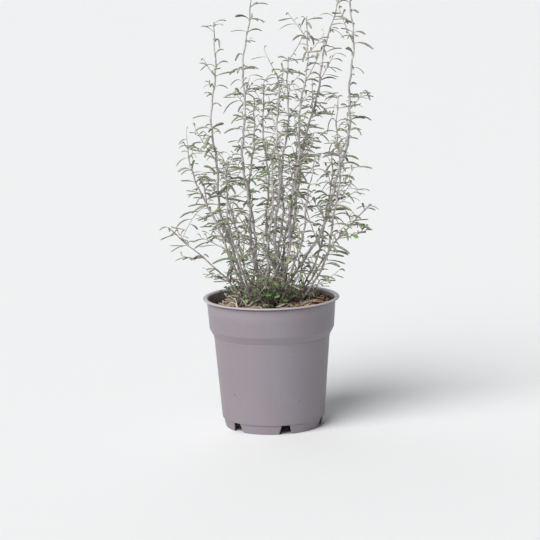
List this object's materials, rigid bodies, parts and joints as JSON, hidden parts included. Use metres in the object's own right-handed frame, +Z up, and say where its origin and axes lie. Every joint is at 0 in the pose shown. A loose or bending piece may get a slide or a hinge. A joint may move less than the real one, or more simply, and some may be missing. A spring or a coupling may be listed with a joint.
{
  "type": "potted corokia shrub",
  "caption": "Young corokia in a tapered plastic nursery pot: a loose clump of thin, upright, pale stems, set along their length with narrow grey-green leaves.",
  "frame": {"origin": "on the ground in the middle of the pot's footprint, which is also the middle of the plant's width and depth", "axes": "+Z up, +X to the viewer's right in the picture, +Y away from the viewer"},
  "size_m": [0.2062, 0.156, 0.4241],
  "materials": {
    "pot_plastic": "satin taupe-grey moulded plastic",
    "potting_mix": "loose brown bark and fibre",
    "bark": "thin felted grey bark",
    "foliage": "dull olive-grey leaves, silvery beneath"
  },
  "bodies": {
    "root": {"leaves_back_centre": "foliage", "leaves_back_left": "foliage", "leaves_back_right": "foliage", "leaves_back_sprig": "foliage", "leaves_centre": "foliage", "leaves_centre_left": "foliage", "leaves_centre_right": "foliage", "leaves_far_right": "foliage", "leaves_front_centre": "foliage", "leaves_front_left": "foliage", "leaves_front_right": "foliage", "leaves_front_sprig": "foliage", "leaves_left_low": "foliage", "leaves_left_mid": "foliage", "leaves_left_sprig": "foliage", "leaves_left_tall": "foliage", "leaves_left_top": "foliage", "leaves_right_inner": "foliage", "leaves_right_lean": "foliage", "leaves_right_low": "foliage", "leaves_right_mid": "foliage", "leaves_right_sprig": "foliage", "leaves_right_tall": "foliage", "pot": "pot_plastic", "potting_mix": "potting_mix", "stem_back_centre": "bark", "stem_back_left": "bark", "stem_back_right": "bark", "stem_centre": "bark", "stem_centre_left": "bark", "stem_centre_right": "bark", "stem_far_right": "bark", "stem_front_centre": "bark", "stem_front_left": "bark", "stem_front_right": "bark", "stem_left_low": "bark", "stem_left_mid": "bark", "stem_left_tall": "bark", "stem_left_top": "bark", "stem_right_inner": "bark", "stem_right_lean": "bark", "stem_right_low": "bark", "stem_right_mid": "bark", "stem_right_tall": "bark"}
  },
  "joints": []
}
